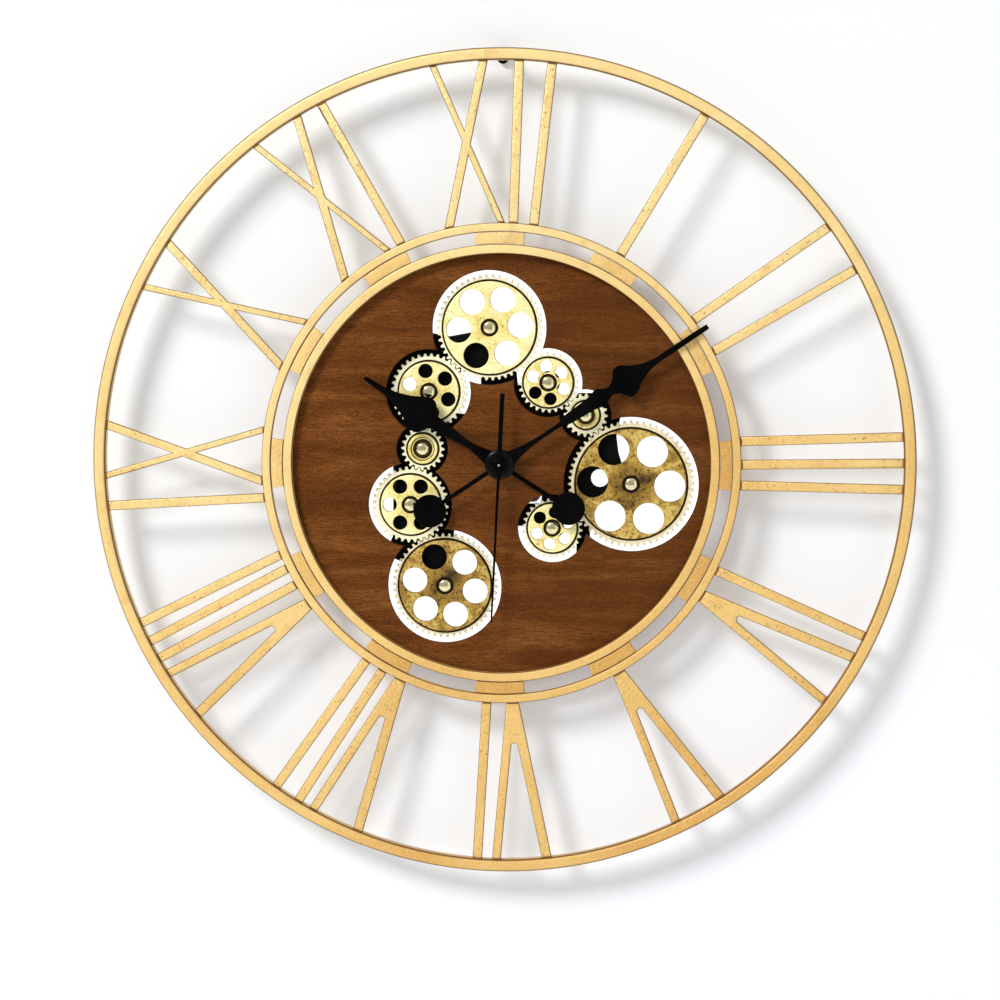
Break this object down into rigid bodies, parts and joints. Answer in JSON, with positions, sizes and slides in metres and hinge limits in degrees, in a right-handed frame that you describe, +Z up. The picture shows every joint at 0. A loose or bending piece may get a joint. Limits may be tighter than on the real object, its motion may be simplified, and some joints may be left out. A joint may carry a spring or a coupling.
{
  "type": "gear train wall clock",
  "caption": "Round wall clock: gold open ring with Roman numeral bars, a walnut dial cut away over a train of meshed brass gears, and three black hands.",
  "frame": {"origin": "the hands' axis where it meets the wall plane, which is the rear face of the movement cover", "axes": "+Z up, +X to the right seen from the front, +Y along the hands' axis into the wall; the dial faces -Y"},
  "size_m": [0.6, 0.0389, 0.6],
  "materials": {
    "gold_frame": "gold powder coat, satin, slightly grained",
    "brass": "pale brass with a fine cast grain and dark patina in the recesses",
    "walnut": "dark walnut, oiled, open grain",
    "black_metal": "matt black paint",
    "black_hand": "satin black enamel",
    "black_plastic": "fine moulded texture",
    "nylon": "moulded, satin",
    "brass_fitting": "turned",
    "steel": "zinc plated",
    "cell_wrap": "printed sleeve, plain colour"
  },
  "bodies": {
    "frame": {"outer_ring": "gold_frame", "chapter_outer_band": "gold_frame", "chapter_inner_band": "gold_frame", "numeral_1_i1": "gold_frame", "numeral_2_i1": "gold_frame", "numeral_2_i2": "gold_frame", "numeral_3_i1": "gold_frame", "numeral_3_i2": "gold_frame", "numeral_3_i3": "gold_frame", "numeral_4_i1": "gold_frame", "numeral_4_v": "gold_frame", "numeral_5_v": "gold_frame", "numeral_6_v": "gold_frame", "numeral_6_i1": "gold_frame", "numeral_7_v": "gold_frame", "numeral_7_i1": "gold_frame", "numeral_7_i2": "gold_frame", "numeral_8_v": "gold_frame", "numeral_8_i1": "gold_frame", "numeral_8_i2": "gold_frame", "numeral_8_i3": "gold_frame", "numeral_9_i1": "gold_frame", "numeral_9_x": "gold_frame", "numeral_10_x": "gold_frame", "numeral_11_x": "gold_frame", "numeral_11_i1": "gold_frame", "numeral_12_x": "gold_frame", "numeral_12_i1": "gold_frame", "numeral_12_i2": "gold_frame", "wood_panel": "walnut", "gear_carrier": "black_metal", "hanger": "black_metal", "movement_case": "black_plastic", "movement_cover": "black_plastic", "drive_case": "black_plastic", "drive_cover": "black_plastic", "fixing_nut": "brass_fitting", "step_motor": "steel", "carrier_screw_1": "steel", "carrier_screw_2": "steel", "carrier_screw_3": "steel", "movement_cell": "cell_wrap", "drive_cell": "cell_wrap"},
    "train_gear_1": {"train_gear_1": "brass"},
    "train_gear_2": {"train_gear_2": "brass"},
    "train_gear_3": {"train_gear_3": "brass"},
    "train_gear_4": {"train_gear_4": "brass"},
    "train_gear_5": {"train_gear_5": "brass"},
    "train_gear_6": {"train_gear_6": "brass"},
    "train_gear_7": {"train_gear_7": "brass"},
    "train_gear_8": {"train_gear_8": "brass"},
    "train_gear_9": {"train_gear_9": "brass"},
    "hour": {"hour_hand": "black_hand", "hour_wheel": "nylon"},
    "minute": {"minute_hand": "black_hand", "cannon_pinion": "brass_fitting"},
    "second": {"second_hand": "black_hand", "second_arbor": "steel"},
    "setting": {"minute_wheel": "nylon", "setting_knob": "black_plastic"}
  },
  "joints": [
    {"name": "train_gear_1_spin", "type": "hinge", "parent": "frame", "child": "train_gear_1", "pos_m": [-0.0083, -0.018, 0.099], "axis": [0, 1, 0], "continuous": true},
    {"name": "train_gear_2_spin", "type": "hinge", "parent": "frame", "child": "train_gear_2", "pos_m": [-0.05274, -0.018, 0.05225], "axis": [0, 1, 0], "continuous": true},
    {"name": "train_gear_3_spin", "type": "hinge", "parent": "frame", "child": "train_gear_3", "pos_m": [-0.05738, -0.018, 0.01051], "axis": [0, 1, 0], "continuous": true},
    {"name": "train_gear_4_spin", "type": "hinge", "parent": "frame", "child": "train_gear_4", "pos_m": [-0.06636, -0.018, -0.03052], "axis": [0, 1, 0], "continuous": true},
    {"name": "train_gear_5_spin", "type": "hinge", "parent": "frame", "child": "train_gear_5", "pos_m": [-0.04116, -0.018, -0.08989], "axis": [0, 1, 0], "continuous": true},
    {"name": "train_gear_6_spin", "type": "hinge", "parent": "frame", "child": "train_gear_6", "pos_m": [0.03448, -0.018, 0.0591], "axis": [0, 1, 0], "continuous": true},
    {"name": "train_gear_7_spin", "type": "hinge", "parent": "frame", "child": "train_gear_7", "pos_m": [0.06178, -0.018, 0.03563], "axis": [0, 1, 0], "continuous": true},
    {"name": "train_gear_8_spin", "type": "hinge", "parent": "frame", "child": "train_gear_8", "pos_m": [0.09498, -0.018, -0.01435], "axis": [0, 1, 0], "continuous": true},
    {"name": "train_gear_9_spin", "type": "hinge", "parent": "frame", "child": "train_gear_9", "pos_m": [0.03758, -0.018, -0.04692], "axis": [0, 1, 0], "continuous": true},
    {"name": "hour_hand_turn", "type": "hinge", "parent": "frame", "child": "hour", "pos_m": [0, -0.018, 0], "axis": [0, 1, 0], "continuous": true},
    {"name": "minute_hand_turn", "type": "hinge", "parent": "frame", "child": "minute", "pos_m": [0, -0.018, 0], "axis": [0, 1, 0], "continuous": true},
    {"name": "second_hand_turn", "type": "hinge", "parent": "frame", "child": "second", "pos_m": [0, -0.018, 0], "axis": [0, 1, 0], "continuous": true},
    {"name": "setting_knob_turn", "type": "hinge", "parent": "frame", "child": "setting", "pos_m": [0, -0.018, 0.01], "axis": [0, 1, 0], "continuous": true}
  ],
  "couplings": [
    {"joint": "train_gear_1_spin", "follows": "train_gear_8_spin", "ratio": -1.2},
    {"joint": "train_gear_2_spin", "follows": "train_gear_8_spin", "ratio": 1.6667},
    {"joint": "train_gear_3_spin", "follows": "train_gear_8_spin", "ratio": -3},
    {"joint": "train_gear_4_spin", "follows": "train_gear_8_spin", "ratio": 1.6667},
    {"joint": "train_gear_5_spin", "follows": "train_gear_8_spin", "ratio": -1.2},
    {"joint": "train_gear_6_spin", "follows": "train_gear_8_spin", "ratio": 2.1429},
    {"joint": "train_gear_7_spin", "follows": "train_gear_8_spin", "ratio": -3},
    {"joint": "train_gear_9_spin", "follows": "train_gear_8_spin", "ratio": -2.1429},
    {"joint": "hour_hand_turn", "follows": "minute_hand_turn", "ratio": 0.083333},
    {"joint": "setting_knob_turn", "follows": "minute_hand_turn", "ratio": -0.33333}
  ]
}
